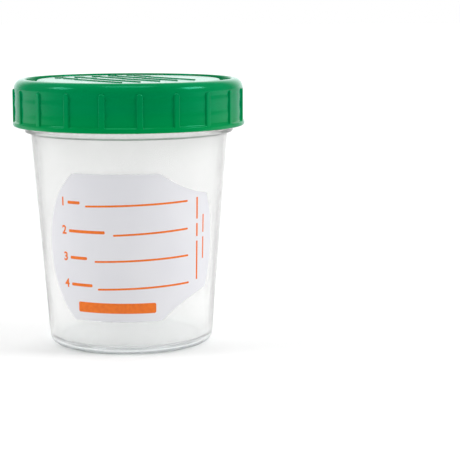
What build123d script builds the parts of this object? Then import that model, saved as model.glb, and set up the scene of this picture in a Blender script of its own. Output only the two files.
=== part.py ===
from build123d import *
from math import radians, sin, tan
import os

# A screw-capped specimen container, in millimetres, +Z up. The cup stands on the plane z = 0 with its
# axis on the Z axis, and its label faces -Y. Angles are counted from -Y, positive towards +X.
# Rounded edges are made as a few flats each, which keeps the model light.

# Cup body: a tapered wall on a foot ring
body_foot_radius = 23.3
body_top_radius = 28.05
shoulder_height = 60.5
body_wall = 0.95
floor_thickness = 1.2
foot_recess = 0.9
foot_ring_width = 1.3
foot_round = 2.05
floor_round = 1.6
gate_disc_radius = 12.0
gate_disc_depth = 0.25

# Cup neck: wider than the body, with a lip that the lid seals on
shoulder_rise = 0.6
neck_radius = 29.7
neck_wall = 1.1
neck_height = 11.2
lip_round = 0.35

# Fit between the neck and the lid
seat_gap = 0.05
plug_clearance = 0.15
thread_room = 1.7

# Lid shell
skirt_wall = 1.1
skirt_drop = 9.35
land_thickness = 1.1
disc_thickness = 1.2
rim_roof = 1.3

# Lid top: a rounded rim, a groove, and a writing disc just below the rim's crest
rim_width = 3.1
rim_edge_round = 0.4
crest_flat = 0.1
groove_width = 3.3
groove_depth = 2.9
groove_draft = 0.35
disc_sink = 0.35
disc_edge_round = 0.5

# Plug seal under the lid, a thin ring that dips into the neck
plug_wall = 0.8
plug_depth = 2.2
plug_lead = 0.35

# Grip on the skirt: a bead round its lower edge, and upright ribs
bead_height = 1.3
bead_stand = 0.5
bead_slope = 0.25
bead_round = 0.6
rib_count = 20
rib_first_angle = 8.0
rib_width = 1.65
rib_stand = 0.45
rib_top_gap = 0.15
rib_top_flat = 0.4

# Label: a die-cut sheet with a round left side and a tab on the right, wrapped on the body. Widths
# are lengths along the wall from the middle of the front, and heights are above the table.
label_thickness = 0.12
label_glue = 0.03
label_bottom = 9.75
label_height = 41.2
label_flat_left = -15.3
label_flat_right = 9.9
label_left = -24.75
label_right = 28.15
tab_reach = 25.65
tab_below_top = 6.2
tab_above_bottom = 8.0
notch_sag = 1.25
label_corner_round = 0.8

# Sizes that follow from those
body_slope = (body_top_radius - body_foot_radius) / shoulder_height
lip_height = shoulder_height + neck_height
neck_inner_radius = neck_radius - neck_wall
land_under = lip_height + seat_gap
land_top = land_under + land_thickness
crest = land_top + groove_depth
disc_top = crest - disc_sink
disc_under = disc_top - disc_thickness
skirt_bottom = land_under - skirt_drop
skirt_inner_radius = neck_radius + thread_room
panel_radius = skirt_inner_radius + skirt_wall
bead_radius = panel_radius + bead_stand
rim_inner_radius = panel_radius - rim_width
crown_round = rim_width - rim_edge_round - crest_flat
disc_radius = rim_inner_radius - groove_width


def body_radius(height):
    """Outer radius of the tapered wall at a height."""
    return body_foot_radius + body_slope * height


def eased(before, corner, after, rounding, flats):
    """The points that stand for one corner rounded to a radius, along its arc."""
    corner = Vector(*corner)
    way_in = (Vector(*before) - corner).normalized()
    way_out = (Vector(*after) - corner).normalized()
    half_angle = radians(way_in.get_angle(way_out) / 2)
    bisector = (way_in + way_out).normalized()
    reach = rounding / tan(half_angle)
    apex = corner + bisector * (rounding / sin(half_angle) - rounding)
    arc = ThreePointArc(corner + way_in * reach, apex, corner + way_out * reach)
    return [arc @ (step / flats) for step in range(flats + 1)]


def profile(corners):
    """A closed flat shape. Each corner is (across, height), or also (rounding, flats)."""
    outline = []
    for place, (across, height, *easing) in enumerate(corners):
        if easing:
            before = corners[place - 1][:2]
            after = corners[(place + 1) % len(corners)][:2]
            outline += eased(before, (across, height), after, *easing)
        else:
            outline.append((across, height))
    return make_face(Polyline(outline, close=True))


def turned(corners):
    """A profile of radii and heights, turned about Z."""
    return revolve(Plane.XZ * profile(corners), Axis.Z)


def cup():
    """One moulding: recessed floor on a foot ring, tapered wall, shoulder, neck and lip."""
    floor_top = foot_recess + floor_thickness
    ring_inner = body_foot_radius - foot_round - foot_ring_width
    step_low = shoulder_height + body_wall
    return turned([
        (0, foot_recess + gate_disc_depth),
        (gate_disc_radius, foot_recess + gate_disc_depth),
        (gate_disc_radius, foot_recess),
        (ring_inner - foot_recess / 2, foot_recess),
        (ring_inner, 0),
        (body_foot_radius, 0, foot_round, 2),
        (body_top_radius, shoulder_height),
        (neck_radius, shoulder_height + shoulder_rise),
        (neck_radius, lip_height, lip_round, 1),
        (neck_inner_radius, lip_height, lip_round, 1),
        (neck_inner_radius, step_low + shoulder_rise),
        (body_radius(step_low) - body_wall, step_low),
        (body_radius(floor_top) - body_wall, floor_top, floor_round, 1),
        (0, floor_top),
    ])


def lid_shell():
    """Disc, groove, hollow rim, skirt with its bead, and the plug seal, in one section."""
    hollow_inner = rim_inner_radius + skirt_wall
    hollow_top = crest - rim_roof
    plug_outer = neck_inner_radius - plug_clearance
    plug_inner = plug_outer - plug_wall
    plug_tip = land_under - plug_depth
    pocket_radius = disc_radius - land_thickness
    return turned([
        (0, disc_top),
        (disc_radius, disc_top, disc_edge_round, 1),
        (disc_radius + groove_draft, land_top),
        (rim_inner_radius - groove_draft, land_top),
        (rim_inner_radius, crest, rim_edge_round, 1),
        (panel_radius, crest, crown_round, 4),
        (panel_radius, skirt_bottom + bead_height + bead_slope),
        (bead_radius, skirt_bottom + bead_height),
        (bead_radius, skirt_bottom, bead_round, 1),
        (skirt_inner_radius, skirt_bottom),
        (skirt_inner_radius, hollow_top),
        (hollow_inner, hollow_top),
        (hollow_inner, land_under),
        (plug_outer, land_under),
        (plug_outer - plug_lead, plug_tip),
        (plug_inner, plug_tip),
        (plug_inner, land_under),
        (pocket_radius + groove_draft, land_under),
        (pocket_radius, disc_under),
        (0, disc_under),
    ])


def grip_rib():
    """One upright rib at the front: a bar with a rounded top end, rooted in the skirt and the bead."""
    foot = skirt_bottom + bead_height / 2
    top = crest - crown_round - rib_top_gap
    half = rib_width / 2
    end_round = half - rib_top_flat / 2
    outline = profile([
        (-half, foot),
        (half, foot),
        (half, top, end_round, 1),
        (-half, top, end_round, 1),
    ])
    root = Plane.XZ.offset(panel_radius - skirt_wall / 2)
    return extrude(root * outline, skirt_wall / 2 + rib_stand)


def lid():
    """One moulding: the shell with its grip ribs."""
    rib = grip_rib()
    step = 360 / rib_count
    return lid_shell() + [Rot(0, 0, rib_first_angle + step * turn) * rib for turn in range(rib_count)]


def label_outline():
    """The flat die-cut shape: straight top and bottom, one round side, one tab between two notches."""
    bottom = label_bottom
    top = label_bottom + label_height
    middle = (bottom + top) / 2
    tab_top = top - tab_below_top
    tab_bottom = bottom + tab_above_bottom
    notch_middle = (label_flat_right + tab_reach) / 2
    return [
        Line((label_flat_right, bottom), (label_flat_left, bottom)),
        ThreePointArc((label_flat_left, bottom), (label_left, middle), (label_flat_left, top)),
        Line((label_flat_left, top), (label_flat_right, top)),
        ThreePointArc(
            (label_flat_right, top),
            (notch_middle, (top + tab_top) / 2 - notch_sag),
            (tab_reach, tab_top),
        ),
        ThreePointArc((tab_reach, tab_top), (label_right, middle), (tab_reach, tab_bottom)),
        ThreePointArc(
            (tab_reach, tab_bottom),
            (notch_middle, (bottom + tab_bottom) / 2 + notch_sag),
            (label_flat_right, bottom),
        ),
    ]


def seen_from_front(point):
    """Where a point of the flat label shows in the XZ plane once it is wrapped on the wall."""
    radius = body_radius(point.Y)
    return (radius * sin(point.X / radius), point.Y)


def label():
    """A thin sheet with the wall's own taper, cut to the die-cut outline."""
    flat = make_face(label_outline())
    flat = fillet(flat.vertices(), label_corner_round)
    wrapped = []
    for edge in flat.edges():
        steps = 8 if edge.length > 5 * label_corner_round else 3
        wrapped.append(Spline([seen_from_front(edge @ (step / steps)) for step in range(steps + 1)]))
    blank = extrude(Plane.XZ * make_face(wrapped), 2 * body_top_radius)
    outer = label_glue + label_thickness
    low = label_bottom - label_corner_round
    high = label_bottom + label_height + label_corner_round
    sheet = turned([
        (body_radius(low) + label_glue, low),
        (body_radius(low) + outer, low),
        (body_radius(high) + outer, high),
        (body_radius(high) + label_glue, high),
    ])
    return blank & sheet


os.makedirs("parts", exist_ok=True)
for name, piece in (("cup", cup()), ("lid", lid()), ("label", label())):
    piece.label = name
    export_step(piece, f"parts/{name}.step")
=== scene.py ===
from math import atan2, cos, hypot, pi, radians, sin, sqrt

import bmesh
import bpy
from mathutils import Matrix, Vector


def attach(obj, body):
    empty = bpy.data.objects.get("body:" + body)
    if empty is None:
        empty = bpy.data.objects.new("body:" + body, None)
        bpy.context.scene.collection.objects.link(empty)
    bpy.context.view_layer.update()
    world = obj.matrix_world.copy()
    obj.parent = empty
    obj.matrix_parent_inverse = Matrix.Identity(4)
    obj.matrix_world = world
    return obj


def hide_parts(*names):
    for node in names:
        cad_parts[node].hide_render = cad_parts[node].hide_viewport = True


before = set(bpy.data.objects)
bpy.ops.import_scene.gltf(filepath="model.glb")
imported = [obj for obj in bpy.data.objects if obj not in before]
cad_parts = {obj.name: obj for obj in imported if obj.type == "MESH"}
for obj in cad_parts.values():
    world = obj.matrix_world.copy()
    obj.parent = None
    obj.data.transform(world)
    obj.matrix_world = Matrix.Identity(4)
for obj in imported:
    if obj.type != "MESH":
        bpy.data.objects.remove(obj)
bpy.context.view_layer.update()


# Cup
# The cup is one injection moulding of natural polypropylene, clear with a faint milky cast. It has a
# recessed floor on a foot ring, a wall that tapers so that it leaves its mould, and a wider neck with
# a single-start screw thread. Lengths are millimetres until a finished mesh is scaled to metres.
foot_radius = 23.3
shoulder_radius = 28.05
shoulder_height = 60.5
wall = 0.95
floor_top = 2.1
floor_under = 0.9
neck_radius = 29.7
neck_inner_radius = 28.6
neck_foot = 60.75
lip_height = 71.7
taper = (shoulder_radius - foot_radius) / shoulder_height
inner_step = 61.45
cup_steps = 256
gate_radius, gate_under = 12.0, 1.15
ring_inner, ring_inner_top = 19.95, 19.5
thread_pitch = 4.23
thread_start = 64.6
thread_low, thread_high = 62.9, 70.9
cup_thread_height = 1.1


def wall_radius(height):
    """Outer radius of the tapered wall at a height."""
    return foot_radius + taper * height


def section(bm, corners):
    """Draws a turned part's outline as wire from its (radius, height) corners. Two more numbers round
    a corner off: how far along its sides the rounding starts, and how many segments it has."""
    points = [bm.verts.new((corner[0], 0, corner[1])) for corner in corners]
    bm.faces.new(points)
    for point, corner in zip(points, corners):
        if len(corner) == 4:
            bmesh.ops.bevel(
                bm, geom=[point], offset=corner[2], segments=corner[3],
                profile=0.5, affect="VERTICES", material=-1,
            )
    bmesh.ops.delete(bm, geom=bm.faces[:], context="FACES_ONLY")
    on_axis = [edge for edge in bm.edges if all(vert.co.x < 1e-4 for vert in edge.verts)]
    bmesh.ops.delete(bm, geom=on_axis, context="EDGES")


def hold_flats(bm, reach=0.12, shortest=1.2):
    """Cuts long stretches near both ends, so that smooth shading stays at the rounded corners."""
    for edge in bm.edges[:]:
        length = edge.calc_length()
        if length > shortest:
            first, last = edge.verts
            _, near = bmesh.utils.edge_split(edge, first, reach / length)
            rest = next(e for e in near.link_edges if last in e.verts)
            bmesh.utils.edge_split(rest, last, reach / (length - reach))


def divide(bm, radius, height, step):
    """Cuts the upright stretch of the outline that passes a place into even steps."""
    for edge in bm.edges[:]:
        low, high = sorted(vert.co.z for vert in edge.verts)
        upright = all(abs(vert.co.x - radius) < 0.01 for vert in edge.verts)
        if upright and low < height < high:
            cuts = round((high - low) / step) - 1
            bmesh.ops.subdivide_edges(bm, edges=[edge], cuts=cuts)


def turn(bm, steps):
    """Turns the wire outline round the Z axis into a closed shell that faces outwards."""
    bmesh.ops.spin(
        bm, geom=bm.verts[:] + bm.edges[:], cent=(0, 0, 0), axis=(0, 0, 1),
        angle=2 * pi, steps=steps, use_merge=True,
    )
    bmesh.ops.remove_doubles(bm, verts=bm.verts, dist=1e-4)
    bmesh.ops.recalc_face_normals(bm, faces=bm.faces)


def thread_share(x, y, height, base, pitch, first, last, half_width):
    """How much of its full height a screw ridge has at a place, from 0 to 1. Turns are counted from
    +X, first and last are where the ridge fades in and out, and base is its height at turn 0."""
    share = 0.0
    part_turn = atan2(y, x) / (2 * pi) % 1
    for whole in range(3):
        turns = part_turn + whole
        ends = min(turns - first, last - turns) / 0.05
        across = 1.35 * (1 - abs(height - base - pitch * turns) / half_width)
        if ends > 0 and across > 0:
            across, ends = min(across, 1), min(ends, 1)
            share = max(share, across * across * (3 - 2 * across) * ends * ends * (3 - 2 * ends))
    return share


def piece(name, bm, material, sharp_angle=38):
    """Makes an object from a mesh in millimetres."""
    bmesh.ops.scale(bm, vec=(0.001, 0.001, 0.001), verts=bm.verts)
    mesh = bpy.data.meshes.new(name)
    bm.to_mesh(mesh)
    bm.free()
    mesh.shade_smooth()
    mesh.set_sharp_from_angle(angle=radians(sharp_angle))
    mesh.materials.append(material)
    made = bpy.data.objects.new(name, mesh)
    bpy.context.scene.collection.objects.link(made)
    return made


def node(tree, kind, links=(), **values):
    """Adds a shader node. Sockets are named by their labels, with _ for a space."""
    made = tree.nodes.new("ShaderNode" + kind)
    for name, value in values.items():
        if hasattr(made, name):
            setattr(made, name, value)
        else:
            made.inputs[name.replace("_", " ")].default_value = value
    for name, source in dict(links).items():
        tree.links.new(source, made.inputs[name])
    return made


def new_material(name):
    """An empty material, its node tree and its output."""
    material = bpy.data.materials.new(name)
    material.use_nodes = True
    material.node_tree.nodes.clear()
    output = material.node_tree.nodes.new("ShaderNodeOutputMaterial")
    return material, material.node_tree, output


# Moulded plastic copies its mould's polish: a soft long waviness, a fine grain, and patches that are
# a little duller than the rest.
moulded_skin = bpy.data.node_groups.new("moulded_skin", "ShaderNodeTree")
for name in ("Roughness", "Waviness", "Grain"):
    moulded_skin.interface.new_socket(name, in_out="INPUT", socket_type="NodeSocketFloat")
moulded_skin.interface.new_socket("Roughness", in_out="OUTPUT", socket_type="NodeSocketFloat")
moulded_skin.interface.new_socket("Height", in_out="OUTPUT", socket_type="NodeSocketFloat")
inside = moulded_skin
given = inside.nodes.new("NodeGroupInput").outputs
place = node(inside, "TexCoord").outputs["Object"]
long_waves = node(inside, "TexNoise", {"Vector": place}, Scale=95.0, Detail=1.0)
fine_grain = node(inside, "TexNoise", {"Vector": place}, Scale=1500.0, Detail=2.0)
patches = node(inside, "TexNoise", {"Vector": place}, Scale=220.0, Detail=3.0)
wave_height = node(
    inside, "Math", {0: long_waves.outputs["Fac"], 1: given["Waviness"]},
    operation="MULTIPLY",
)
grain_height = node(inside, "Math", {0: fine_grain.outputs["Fac"], 1: given["Grain"]}, operation="MULTIPLY")
height = node(inside, "Math", {0: wave_height.outputs[0], 1: grain_height.outputs[0]}, operation="ADD")
dullness = node(
    inside, "MapRange", {"Value": patches.outputs["Fac"]},
    From_Min=0.3, From_Max=0.7, To_Min=0.85, To_Max=1.2,
)
rough = node(inside, "Math", {0: given["Roughness"], 1: dullness.outputs[0]}, operation="MULTIPLY")
result = inside.nodes.new("NodeGroupOutput")
inside.links.new(rough.outputs[0], result.inputs["Roughness"])
inside.links.new(height.outputs[0], result.inputs["Height"])


def skin(tree, **values):
    """The moulded skin in one material, with that material's own strengths."""
    made = tree.nodes.new("ShaderNodeGroup")
    made.node_tree = moulded_skin
    for name, value in values.items():
        made.inputs[name].default_value = value
    return made


clear_plastic, tree, output = new_material("natural_polypropylene")
clear_skin = skin(tree, Roughness=0.13, Waviness=0.02, Grain=0.002)
clear_bump = node(tree, "Bump", {"Height": clear_skin.outputs["Height"]}, Strength=0.6, Distance=0.001)
height = node(tree, "SeparateXYZ", {0: node(tree, "TexCoord").outputs["Object"]}).outputs["Z"]
milky = node(tree, "BsdfPrincipled", {
    "Normal": clear_bump.outputs[0], "Roughness": clear_skin.outputs["Roughness"],
})
thick_foot = node(
    tree, "MapRange", {"Value": height},
    interpolation_type="SMOOTHSTEP", From_Min=0.0025, From_Max=0.0008,
)
cast = node(tree, "Mix", {0: thick_foot.outputs[0]}, data_type="RGBA")
cast.inputs[6].default_value = (0.997, 0.997, 0.995, 1)
cast.inputs[7].default_value = (0.93, 0.975, 0.985, 1)
tree.links.new(cast.outputs[2], milky.inputs["Base Color"])
milky.inputs["IOR"].default_value = 1.49
milky.inputs["Transmission Weight"].default_value = 0.8
lamplight = node(tree, "BsdfTransparent")
lamplight.inputs["Color"].default_value = (0.93, 0.93, 0.93, 1)
passing = node(tree, "LightPath")
let_through = node(tree, "MixShader", {
    0: passing.outputs["Is Shadow Ray"], 1: milky.outputs[0], 2: lamplight.outputs[0],
})
tree.links.new(let_through.outputs[0], output.inputs["Surface"])

cup_mesh = bmesh.new()
section(cup_mesh, [
    (0, gate_under),
    (gate_radius, gate_under, 0.12, 2),
    (gate_radius, floor_under, 0.12, 2),
    (ring_inner_top, floor_under, 0.4, 3),
    (ring_inner, 0, 0.2, 3),
    (foot_radius, 0, 2.1, 10),
    (shoulder_radius, shoulder_height, 0.35, 3),
    (neck_radius, neck_foot, 0.2, 3),
    (neck_radius, thread_low),
    (neck_radius, thread_high),
    (neck_radius, lip_height, 0.35, 4),
    (neck_inner_radius, lip_height, 0.35, 4),
    (neck_inner_radius, inner_step + 2.4, 0.35, 3),
    (wall_radius(inner_step) - wall, inner_step, 0.35, 3),
    (wall_radius(floor_top) - wall, floor_top, 1.0, 8),
    (0, floor_top),
])
hold_flats(cup_mesh)
divide(cup_mesh, neck_radius, 66, 0.15)
turn(cup_mesh, cup_steps)
for vert in cup_mesh.verts:
    radius = hypot(vert.co.x, vert.co.y)
    if radius > neck_radius - 0.01:
        ridge = thread_share(*vert.co, thread_start, thread_pitch, 0.0, 1.2, 1.0)
        vert.co.xy *= 1 + cup_thread_height * ridge / radius
cup = piece("cup_moulding", cup_mesh, clear_plastic)
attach(cup, "cup")
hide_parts("cup")


# Label
# The label is a semi-gloss paper sticker, die-cut with one round side and one tab, and wrapped round
# the wall's taper. It lies on a film of glue. Widths are lengths along the wall from its middle.
glue = 0.03
paper = 0.12
strip_step = 0.75
label_bottom, label_top = 9.75, 50.95
label_left, label_right = -24.75, 28.15
flat_left, flat_right = -15.3, 9.9
tab_reach, tab_bottom, tab_top = 25.65, 17.75, 44.75
notch_sag = 1.25
corner_round = 0.35
row_step = 4.0


def sweep_arc(bm, start, middle, end, steps):
    """Sweeps a wire arc through three (across, height) points."""
    (ax, az), (bx, bz), (cx, cz) = start, middle, end
    d = 2 * (ax * (bz - cz) + bx * (cz - az) + cx * (az - bz))
    a, b, c = ax * ax + az * az, bx * bx + bz * bz, cx * cx + cz * cz
    centre = Vector((
        (a * (bz - cz) + b * (cz - az) + c * (az - bz)) / d,
        0,
        (a * (cx - bx) + b * (ax - cx) + c * (bx - ax)) / d,
    ))
    turned = [atan2(z - centre.z, x - centre.x) for x, z in (start, middle, end)]
    swing = sum((late - early + pi) % (2 * pi) - pi for early, late in zip(turned, turned[1:]))
    bmesh.ops.spin(
        bm, geom=[bm.verts.new((ax, 0, az))], cent=centre, axis=(0, -1, 0), angle=swing, steps=steps,
    )


def cut_strips(bm, across_step, height_step):
    """Cuts a flat sheet into upright strips and rows, so that it can bend."""
    for direction, step in ((Vector((1, 0, 0)), across_step), (Vector((0, 0, 1)), height_step)):
        reach = [vert.co.dot(direction) for vert in bm.verts]
        first, last = int(min(reach) / step) - 1, int(max(reach) / step) + 1
        for count in range(first, last + 1):
            bmesh.ops.bisect_plane(
                bm, geom=bm.verts[:] + bm.edges[:] + bm.faces[:], dist=1e-4,
                plane_co=direction * (count * step), plane_no=direction,
            )


def wrap(bm, lift):
    """Bends a flat sheet round the wall. -Y in the flat is outwards, and lift is its distance."""
    for vert in bm.verts:
        across, depth, height = vert.co
        angle = across / wall_radius(height)
        radius = wall_radius(height) + lift - depth
        vert.co = (radius * sin(angle), -radius * cos(angle), height)


def sheet_of(bm, thickness):
    """Gives flat faces in the XZ plane a thickness, outwards from the plane y = 0."""
    bmesh.ops.recalc_face_normals(bm, faces=bm.faces)
    for face in bm.faces:
        if face.normal.y > 0:
            face.normal_flip()
    bmesh.ops.solidify(bm, geom=bm.faces[:], thickness=-thickness)
    bmesh.ops.recalc_face_normals(bm, faces=bm.faces)


label_paper, tree, output = new_material("semi_gloss_paper")
place = node(tree, "TexCoord").outputs["Object"]
fibres = node(tree, "TexNoise", {"Vector": place}, Scale=2600.0, Detail=3.0)
cloud = node(tree, "TexNoise", {"Vector": place}, Scale=60.0, Detail=2.0)
tint = node(tree, "MapRange", {"Value": cloud.outputs["Fac"]}, From_Min=0.3, From_Max=0.7)
paper_colour = node(tree, "Mix", {0: tint.outputs[0]}, data_type="RGBA")
paper_colour.inputs[6].default_value = (0.75, 0.75, 0.79, 1)
paper_colour.inputs[7].default_value = (0.79, 0.79, 0.82, 1)
paper_rough = node(
    tree, "MapRange", {"Value": fibres.outputs["Fac"]},
    From_Min=0.3, From_Max=0.7, To_Min=0.36, To_Max=0.46,
)
paper_bump = node(tree, "Bump", {"Height": fibres.outputs["Fac"]}, Strength=0.25, Distance=0.00002)
paper_shader = node(tree, "BsdfPrincipled", {
    "Base Color": paper_colour.outputs[2], "Roughness": paper_rough.outputs[0],
    "Normal": paper_bump.outputs[0],
})
tree.links.new(paper_shader.outputs[0], output.inputs["Surface"])

label_mesh = bmesh.new()
notch_across = (flat_right + tab_reach) / 2
label_middle = (label_bottom + label_top) / 2
sweep_arc(label_mesh, (flat_left, label_bottom), (label_left, label_middle), (flat_left, label_top), 40)
sweep_arc(
    label_mesh, (flat_right, label_top), (notch_across, (label_top + tab_top) / 2 - notch_sag),
    (tab_reach, tab_top), 16,
)
sweep_arc(label_mesh, (tab_reach, tab_top), (label_right, label_middle), (tab_reach, tab_bottom), 24)
sweep_arc(
    label_mesh, (tab_reach, tab_bottom), (notch_across, (label_bottom + tab_bottom) / 2 + notch_sag),
    (flat_right, label_bottom), 16,
)
bmesh.ops.remove_doubles(label_mesh, verts=label_mesh.verts, dist=1e-3)
open_ends = {round(vert.co.z): [] for vert in label_mesh.verts if len(vert.link_edges) == 1}
for vert in label_mesh.verts:
    if len(vert.link_edges) == 1:
        open_ends[round(vert.co.z)].append(vert)
for pair in open_ends.values():
    label_mesh.edges.new(pair)
bmesh.ops.contextual_create(label_mesh, geom=label_mesh.edges[:])
corners = [vert for vert in label_mesh.verts if vert.calc_edge_angle(0) > radians(8)]
bmesh.ops.bevel(
    label_mesh, geom=corners, offset=corner_round, segments=4, profile=0.5, affect="VERTICES", material=-1,
)
cut_strips(label_mesh, strip_step, row_step)
sheet_of(label_mesh, paper)
wrap(label_mesh, glue)
label = piece("label_sheet", label_mesh, label_paper)
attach(label, "cup")
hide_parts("label")


# Label print
# One colour of flexographic ink: four ruled writing lines, each with its number and a short bar, a
# plain band at the foot, and small upright dashes beside the tab.
ink = 0.012
ink_root = 0.01
rule_thickness = 0.54
bar_thickness = 0.85
bar_after_number = 2.6
foot_band = ((-14.1, 13.55), (8.2, 13.55))
foot_band_thickness = 2.9
# (left, right, height at left, height at right) of each writing line, then (left end of its number, right
# end of its short bar, foot of its number, height of its number)
writing_lines = [
    ((-11.3, 18.2, 42.0, 43.0), (-19.7, -13.0, 41.9, 2.3)),
    ((-3.4, 18.2, 34.1, 35.2), (-19.5, -5.7, 33.9, 2.3)),
    ((-8.8, 18.4, 26.6, 27.6), (-19.2, -11.1, 26.4, 2.3)),
    ((-8.0, 18.6, 18.8, 19.8), (-19.0, -9.6, 18.8, 2.3)),
]
# (across, bottom, top, thickness) of each upright dash
upright_dashes = [
    (21.7, 20.3, 31.4, 0.6),
    (21.7, 32.6, 36.4, 0.6),
    (21.7, 37.6, 43.8, 0.6),
    (24.3, 26.0, 32.3, 0.5),
    (24.3, 33.5, 38.7, 0.5),
]


def bar(bm, start, end, thickness, rounding):
    """A flat bar with rounded corners in the XZ plane, between two (across, height) points."""
    start, end = Vector((start[0], 0, start[1])), Vector((end[0], 0, end[1]))
    side = (end - start).normalized().cross(Vector((0, 1, 0))) * (thickness / 2)
    points = [bm.verts.new(place) for place in (start - side, end - side, end + side, start + side)]
    bm.faces.new(points)
    bmesh.ops.bevel(
        bm, geom=points, offset=rounding, segments=4, profile=0.5, affect="VERTICES", material=-1,
    )


def numeral(bm, digit, cap_height, place, depth=0.0, rounding=0.0):
    """Adds a digit at a matrix: flat faces, or a solid of some depth with rounded edges."""
    curve = bpy.data.curves.new("digit", "FONT")
    curve.body = digit
    curve.size = cap_height / 0.69
    curve.resolution_u = 6
    curve.offset = 0.045 * cap_height
    if depth:
        curve.offset = -rounding
        curve.extrude = depth / 2 - rounding
        curve.bevel_depth = rounding
        curve.bevel_resolution = 1
    holder = bpy.data.objects.new("digit", curve)
    bpy.context.scene.collection.objects.link(holder)
    bpy.context.view_layer.update()
    shape = bpy.data.meshes.new_from_object(holder.evaluated_get(bpy.context.evaluated_depsgraph_get()))
    before = set(bm.verts)
    bm.from_mesh(shape)
    bmesh.ops.remove_doubles(bm, verts=[vert for vert in bm.verts if vert not in before], dist=1e-4)
    if not depth:
        fresh = [edge for edge in bm.edges if edge.verts[0] not in before]
        ends = [vert for vert in bm.verts if vert not in before]
        bmesh.ops.dissolve_limit(bm, angle_limit=radians(1), verts=ends, edges=fresh)
    bmesh.ops.transform(bm, matrix=place, verts=[vert for vert in bm.verts if vert not in before])
    bpy.data.objects.remove(holder)
    bpy.data.curves.remove(curve)
    bpy.data.meshes.remove(shape)


orange_ink, tree, output = new_material("orange_ink")
place = node(tree, "TexCoord").outputs["Object"]
coverage = node(tree, "TexNoise", {"Vector": place}, Scale=900.0, Detail=3.0)
density = node(tree, "MapRange", {"Value": coverage.outputs["Fac"]}, From_Min=0.35, From_Max=0.65)
ink_colour = node(tree, "Mix", {0: density.outputs[0]}, data_type="RGBA")
ink_colour.inputs[6].default_value = (0.92, 0.19, 0.004, 1)
ink_colour.inputs[7].default_value = (0.84, 0.155, 0.002, 1)
ink_rough = node(tree, "MapRange", {"Value": coverage.outputs["Fac"]}, To_Min=0.35, To_Max=0.5)
ink_shader = node(tree, "BsdfPrincipled", {
    "Base Color": ink_colour.outputs[2], "Roughness": ink_rough.outputs[0],
})
tree.links.new(ink_shader.outputs[0], output.inputs["Surface"])

print_mesh = bmesh.new()
stand_up = Matrix.Rotation(pi / 2, 4, "X")
for count, (rule, word) in enumerate(writing_lines, 1):
    left, right, low, high = rule
    bar(print_mesh, (left, low), (right, high), rule_thickness, 0.2)
    left, right, foot, tall = word
    numeral(print_mesh, str(count), tall, Matrix.Translation((left, 0, foot)) @ stand_up)
    middle = foot + 0.42 * tall
    bar(print_mesh, (left + bar_after_number, middle), (right, middle), bar_thickness, 0.3)
bar(print_mesh, *foot_band, foot_band_thickness, 0.5)
for across, low, high, thickness in upright_dashes:
    bar(print_mesh, (across, low), (across, high), thickness, 0.2)
cut_strips(print_mesh, strip_step, row_step)
sheet_of(print_mesh, ink + ink_root)
wrap(print_mesh, glue + paper - ink_root)
label_print = piece("label_print", print_mesh, orange_ink)
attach(label_print, "cup")


# Lid
# The lid is one injection moulding of green pigmented polypropylene: a writing disc, a groove round
# it whose underside seals on the cup's lip, a hollow rounded rim, and a skirt with twenty grip ribs
# on a bead. A thin plug ring dips into the neck, and a thread inside the skirt catches the cup's.
disc_top = 75.4
disc_under = 74.2
disc_radius = 26.1
groove_floor = 72.85
groove_under = 71.75
groove_draft = 0.35
rim_inner_radius = 29.4
crest = 75.75
panel_radius = 32.5
bead_radius = 33.0
bead_top = 63.7
skirt_bottom = 62.4
bore_radius = 31.4
hollow_radius = 30.5
hollow_top = 74.45
plug_outer, plug_inner, plug_tip = 28.45, 27.65, 69.55
rib_count = 20
rib_first = 8.0
rib_half_width = 0.85
rib_stand = 0.45
rib_top = 73.0
rib_ends_above = 71.8
bore_low, bore_high = 63.0, 71.4
lid_thread_start = thread_start - thread_pitch / 2
lid_thread_height = 0.85
# The thread inside the skirt shrinks as it cools and draws shallow spiral hollows in the panels.
sink_depth = 0.09
# Columns of the lid's mesh on each side of a rib, in millimetres along the skirt
rib_columns = [0.25, 0.45, 0.575, 0.7, 0.8, 0.9, 1.05, 1.6, 2.4, 3.3, 4.2]

green_plastic, tree, output = new_material("green_polypropylene")
place = node(tree, "TexCoord").outputs["Object"]
spot = node(tree, "SeparateXYZ", {0: place}).outputs
across_squared = node(tree, "Math", {0: spot["X"], 1: spot["X"]}, operation="MULTIPLY")
deep_squared = node(tree, "Math", {0: spot["Y"], 1: spot["Y"]}, operation="MULTIPLY")
squares = node(tree, "Math", {0: across_squared.outputs[0], 1: deep_squared.outputs[0]}, operation="ADD")
from_axis = node(tree, "Math", {0: squares.outputs[0]}, operation="SQRT")


def band(value, low, high, soft):
    """A mask that is 1 between two values and fades over a short distance outside them."""
    rise = node(
        tree, "MapRange", {"Value": value},
        interpolation_type="SMOOTHSTEP", From_Min=low - soft, From_Max=low,
    )
    fall = node(
        tree, "MapRange", {"Value": value},
        interpolation_type="SMOOTHSTEP", From_Min=high + soft, From_Max=high,
    )
    both = node(tree, "Math", {0: rise.outputs[0], 1: fall.outputs[0]}, operation="MULTIPLY")
    return both.outputs[0]


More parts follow.
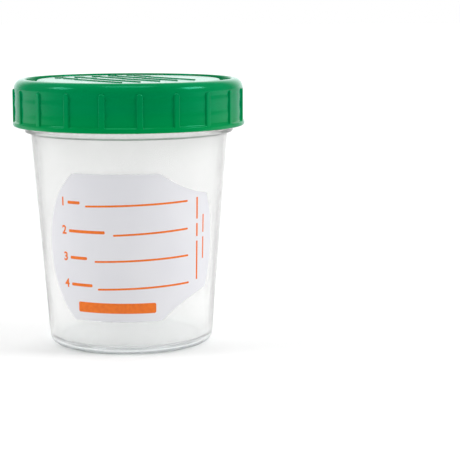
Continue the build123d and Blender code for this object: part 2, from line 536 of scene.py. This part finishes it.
pigment = node(tree, "TexNoise", {"Vector": place}, Scale=70.0, Detail=3.0, Distortion=0.6)
swirl = node(tree, "MapRange", {"Value": pigment.outputs["Fac"]}, From_Min=0.3, From_Max=0.7)
green = node(tree, "Mix", {0: swirl.outputs[0]}, data_type="RGBA")
green.inputs[6].default_value = (0.0, 0.215, 0.058, 1)
green.inputs[7].default_value = (0.0, 0.24, 0.07, 1)
# Painted light: the groove's floor is painted a lighter, yellower green that stands in for light shining
# through its thin wall.
groove_glow_mask = node(tree, "Math", {
    0: band(from_axis.outputs[0], 0.0264, 0.0291, 0.0003), 1: band(spot["Z"], 0.070, 0.0731, 0.0004),
}, operation="MULTIPLY")
painted_glow_green = node(tree, "Mix", {0: groove_glow_mask.outputs[0], 6: green.outputs[2]}, data_type="RGBA")
painted_glow_green.inputs[7].default_value = (0.0, 0.34, 0.07, 1)
# Painted light: the lower skirt and bead are painted a lighter, less blue green that stands in for light
# bounced up from the table.
painted_bounce_mask = node(
    tree, "MapRange", {"Value": spot["Z"]},
    interpolation_type="SMOOTHSTEP", From_Min=0.070, From_Max=0.0625,
)
painted_bounce_green = node(tree, "Mix", {0: painted_bounce_mask.outputs[0], 6: painted_glow_green.outputs[2]}, data_type="RGBA")
painted_bounce_green.inputs[7].default_value = (0.0, 0.25, 0.056, 1)

lid_skin = skin(tree, Roughness=0.14, Waviness=0.012, Grain=0.0008)
lid_bump = node(tree, "Bump", {"Height": lid_skin.outputs["Height"]}, Strength=1.0, Distance=0.001)
lid_shader = node(tree, "BsdfPrincipled", {
    "Base Color": painted_bounce_green.outputs[2], "Roughness": lid_skin.outputs["Roughness"],
    "Normal": lid_bump.outputs[0],
})
lid_shader.inputs["IOR"].default_value = 1.49
lid_shader.inputs["Sheen Weight"].default_value = 0.16
lid_shader.inputs["Sheen Roughness"].default_value = 0.45
lid_shader.inputs["Sheen Tint"].default_value = (0.0, 0.75, 0.85, 1)
lid_shader.inputs["Specular IOR Level"].default_value = 0.35
lid_shader.inputs["Specular Tint"].default_value = (0.0, 1.0, 0.72, 1)
tree.links.new(lid_shader.outputs[0], output.inputs["Surface"])

lid_mesh = bmesh.new()
section(lid_mesh, [
    (0, disc_top),
    (disc_radius, disc_top, 0.5, 6),
    (disc_radius + groove_draft, groove_floor, 0.3, 3),
    (rim_inner_radius - groove_draft, groove_floor, 0.3, 3),
    (rim_inner_radius, crest, 0.4, 5),
    (panel_radius, crest, 2.6, 14),
    (panel_radius, rib_ends_above),
    (panel_radius, bead_top + 0.25, 0.3, 3),
    (bead_radius, bead_top, 0.2, 3),
    (bead_radius, skirt_bottom, 0.6, 6),
    (bore_radius, skirt_bottom, 0.25, 3),
    (bore_radius, bore_low),
    (bore_radius, bore_high),
    (bore_radius, hollow_top, 0.35, 3),
    (hollow_radius, hollow_top, 0.35, 3),
    (hollow_radius, groove_under, 0.2, 2),
    (plug_outer, groove_under),
    (plug_outer - 0.35, plug_tip, 0.2, 3),
    (plug_inner, plug_tip, 0.2, 3),
    (plug_inner, groove_under, 0.2, 2),
    (disc_radius - 1.1 + groove_draft, groove_under, 0.2, 2),
    (disc_radius - 1.1, disc_under, 0.3, 3),
    (0, disc_under),
])
hold_flats(lid_mesh)
divide(lid_mesh, panel_radius, 72.5, 0.1)
divide(lid_mesh, panel_radius, 68, 0.5)
divide(lid_mesh, bore_radius, 67, 0.2)
half_way = pi * panel_radius / rib_count
columns = [-offset for offset in reversed(rib_columns)] + [0.0] + rib_columns + [half_way]
turn(lid_mesh, rib_count * len(columns))
for vert in lid_mesh.verts:
    radius = hypot(vert.co.x, vert.co.y)
    if radius < 0.01:
        continue
    count = round(atan2(vert.co.y, vert.co.x) / (2 * pi) * rib_count * len(columns))
    rib, column = divmod(count, len(columns))
    beside = columns[column]
    angle = radians(rib_first - 90 + 360 / rib_count * rib) + beside / panel_radius
    if abs(radius - panel_radius) < 0.01:
        spiral = vert.co.z / thread_pitch - angle / (2 * pi)
        fade = min(vert.co.z - bead_top - 0.3, rib_top - vert.co.z, 1.0)
        radius -= sink_depth * max(fade, 0) * (0.5 + 0.5 * sin(2 * pi * spiral))
    if radius > panel_radius - sink_depth - 0.01 and vert.co.z > skirt_bottom + 0.65:
        above = max(vert.co.z - (rib_top - rib_half_width), 0)
        inside = (rib_half_width - hypot(beside, above)) / 0.3
        if inside > 0:
            raised = sqrt(1 - (1 - min(inside, 1)) ** 2)
            radius = max(radius, radius + (panel_radius + rib_stand - radius) * raised)
    if abs(radius - bore_radius) < 0.01:
        ridge = thread_share(
            cos(angle), sin(angle), vert.co.z, lid_thread_start, thread_pitch, 0.32, 1.55, 1.0,
        )
        radius -= lid_thread_height * ridge
    vert.co.xy = radius * cos(angle), radius * sin(angle)
lid = piece("lid_moulding", lid_mesh, green_plastic)
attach(lid, "lid")
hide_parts("lid")


# Writing lines on the lid
# They are raised in the same moulding: five ruled lines across the disc, each with its number and a
# short bar. The mould's cutter leaves their edges rounded.
emboss = 0.24
sunk_in = 0.06
reading_angle = -53.5
word_start = -19.4
line_end = 16.4
number_height, number_round = 3.1, 0.06
raised_rule, raised_bar = 0.42, 1.1
bar_start = word_start + 3.4
bar_rise = 1.4
# (height of the row on the disc, start of the ruled line, end of its short bar)
rows = [
    (11.5, -6.7, -8.0),
    (5.4, -0.9, -1.5),
    (-0.5, -2.4, -3.4),
    (-7.0, -7.4, -8.5),
    (-13.1, -8.0, -9.0),
]
emboss_mesh = bmesh.new()
lay_down = Matrix.Rotation(-pi / 2, 4, "X")
for level, start, bar_end in rows:
    bar(emboss_mesh, (start, level), (line_end, level), raised_rule, 0.18)
    bar(emboss_mesh, (bar_start, level + bar_rise), (bar_end, level + bar_rise), raised_bar, 0.4)
sheet_of(emboss_mesh, emboss + sunk_in)
upper = [
    edge for edge in emboss_mesh.edges
    if all(vert.co.y < -emboss for vert in edge.verts) and edge.calc_face_angle(0) > 1
]
bmesh.ops.bevel(
    emboss_mesh, geom=upper, offset=0.07, segments=2, profile=0.5, affect="EDGES", material=-1,
    clamp_overlap=True,
)
for count, (level, _, _) in enumerate(rows, 1):
    middle = Matrix.Translation((word_start, -(emboss + sunk_in) / 2, level))
    numeral(emboss_mesh, str(count), number_height, middle @ stand_up, emboss + sunk_in, number_round)
on_disc = (
    Matrix.Translation((0, 0, disc_top - sunk_in))
    @ Matrix.Rotation(radians(reading_angle), 4, "Z")
    @ lay_down
)
bmesh.ops.transform(emboss_mesh, matrix=on_disc, verts=emboss_mesh.verts)
bmesh.ops.recalc_face_normals(emboss_mesh, faces=emboss_mesh.faces)
writing = piece("lid_writing_lines", emboss_mesh, green_plastic)
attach(writing, "lid")


# Studio
# A seamless white table, two soft boxes at the sides, one overhead, and a white surround that is dimmer
# on the camera's side. The table glows more with distance, for the camera and through clear plastic.
floor_mesh = bmesh.new()
bmesh.ops.create_grid(floor_mesh, x_segments=1, y_segments=1, size=6000)
table, tree, output = new_material("white_table")
paper_white = node(tree, "BsdfDiffuse")
paper_white.inputs["Color"].default_value = (0.84, 0.84, 0.84, 1)
place = node(tree, "TexCoord").outputs["Object"]
distance = node(tree, "VectorMath", {0: place}, operation="LENGTH")
far_white = node(
    tree, "MapRange", {"Value": distance.outputs["Value"]},
    From_Min=0.05, From_Max=2.2, To_Min=0.04, To_Max=0.42,
)
shown = node(tree, "LightPath")
through = node(tree, "Math", {0: shown.outputs["Transmission Depth"]}, operation="GREATER_THAN")
clear_view = node(
    tree, "Math", {0: through.outputs[0], 1: shown.outputs["Is Diffuse Ray"]},
    operation="SUBTRACT",
)
seen = node(
    tree, "Math", {0: shown.outputs["Is Camera Ray"], 1: clear_view.outputs[0]},
    operation="MAXIMUM",
)
glow_strength = node(tree, "Math", {0: seen.outputs[0], 1: far_white.outputs[0]}, operation="MULTIPLY")
glow = node(tree, "Emission", {"Strength": glow_strength.outputs[0]})
lit = node(tree, "AddShader", {0: paper_white.outputs[0], 1: glow.outputs[0]})
# What gloss mirrors of the table goes by direction, from the camera's side at 0 to the far side at 1.
bearing = node(tree, "VectorMath", {0: place}, operation="NORMALIZE")
depth = node(tree, "SeparateXYZ", {0: bearing.outputs["Vector"]}).outputs["Y"]
round_table = node(tree, "MapRange", {"Value": depth}, From_Min=-1.0, From_Max=1.0)
mirrored_level = node(tree, "ValToRGB", {"Fac": round_table.outputs[0]})
levels = mirrored_level.color_ramp.elements
levels[0].color, levels[1].color = (0.3, 0.3, 0.3, 1), (1, 1, 1, 1)
for spot_y, white in ((-0.4, 0.45), (0.1, 1.0), (0.4, 0.8), (0.72, 0.45), (0.86, 0.75), (0.94, 1.0)):
    levels.new((spot_y + 1) / 2).color = (white, white, white, 1)
mirrored = node(tree, "Emission", {"Color": mirrored_level.outputs[0]})
mirror_only = node(
    tree, "Math", {0: shown.outputs["Is Glossy Ray"], 1: through.outputs[0]},
    operation="SUBTRACT", use_clamp=True,
)
table_look = node(tree, "MixShader", {0: mirror_only.outputs[0], 1: lit.outputs[0], 2: mirrored.outputs[0]})
tree.links.new(table_look.outputs[0], output.inputs["Surface"])
piece("white_table", floor_mesh, table)


def soft_box(name, position, width, height, watts):
    """A rectangular lamp that faces the middle of the container."""
    lamp = bpy.data.lights.new(name, "AREA")
    lamp.shape = "RECTANGLE"
    lamp.size, lamp.size_y = width, height
    lamp.energy = watts
    holder = bpy.data.objects.new(name, lamp)
    aim = Vector((0, 0, 0.045)) - Vector(position)
    holder.location = position
    holder.rotation_euler = aim.to_track_quat("-Z", "Y").to_euler()
    bpy.context.scene.collection.objects.link(holder)


soft_box("right_box", (1.5, -0.24, 1.24), 0.68, 0.55, 11.0)
soft_box("left_box", (-1.5, -0.24, 1.24), 0.68, 0.55, 6.5)
soft_box("top_box", (0.0, -0.3, 2.0), 1.0, 0.8, 6.0)

world = bpy.data.worlds.new("studio")
world.use_nodes = True
tree = world.node_tree
tree.nodes.clear()
# Plain white for the camera and through clear plastic, and levels by direction for light and gloss
direction = node(tree, "TexCoord").outputs["Generated"]
facing = node(tree, "SeparateXYZ", {0: direction}).outputs
diffuse_level = node(
    tree, "MapRange", {"Value": facing["Y"]},
    interpolation_type="SMOOTHSTEP", From_Min=-1.0, From_Max=0.0, To_Min=0.4, To_Max=0.85,
)
mirror_level = node(
    tree, "MapRange", {"Value": facing["Y"]},
    interpolation_type="SMOOTHSTEP", From_Min=0.6, From_Max=1.0, To_Min=0.1, To_Max=1.4,
)
sideways = node(tree, "Math", {0: facing["X"], 1: facing["X"]}, operation="MULTIPLY")
side_light = node(
    tree, "Math", {0: sideways.outputs[0], 2: diffuse_level.outputs[0]},
    operation="MULTIPLY_ADD",
)
side_light.inputs[1].default_value = 0.5
ray = node(tree, "LightPath")
surround = node(
    tree, "Mix", {0: ray.outputs["Is Glossy Ray"], 2: side_light.outputs[0], 3: mirror_level.outputs[0]},
    data_type="FLOAT",
)
through = node(tree, "Math", {0: ray.outputs["Transmission Depth"]}, operation="GREATER_THAN")
clear_view = node(
    tree, "Math", {0: through.outputs[0], 1: ray.outputs["Is Diffuse Ray"]},
    operation="SUBTRACT",
)
see_white = node(
    tree, "Math", {0: ray.outputs["Is Camera Ray"], 1: clear_view.outputs[0]},
    operation="MAXIMUM",
)
level = node(tree, "Mix", {0: see_white.outputs[0], 2: surround.outputs[0]}, data_type="FLOAT")
level.inputs[3].default_value = 1.0
sky = node(tree, "Background", {"Strength": level.outputs[0]})
sky.inputs["Color"].default_value = (1, 1, 1, 1)
output = node(tree, "OutputWorld", {"Surface": sky.outputs[0]})
bpy.context.scene.world = world

view_yaw, view_pitch, view_roll = radians(0.703), radians(8.347), radians(-0.152)
lens = bpy.data.cameras.new("camera")
lens.sensor_width = 36.0
lens.lens = 122.1
lens.clip_start, lens.clip_end = 0.01, 20
camera = bpy.data.objects.new("camera", lens)
camera.matrix_world = (
    Matrix.Translation((0.023317, -0.446847, 0.097331))
    @ Matrix.Rotation(-view_yaw, 4, "Z")
    @ Matrix.Rotation(pi / 2 - view_pitch, 4, "X")
    @ Matrix.Rotation(view_roll, 4, "Z")
)
bpy.context.scene.collection.objects.link(camera)
bpy.context.scene.camera = camera
bpy.context.scene.view_settings.view_transform = "Standard"
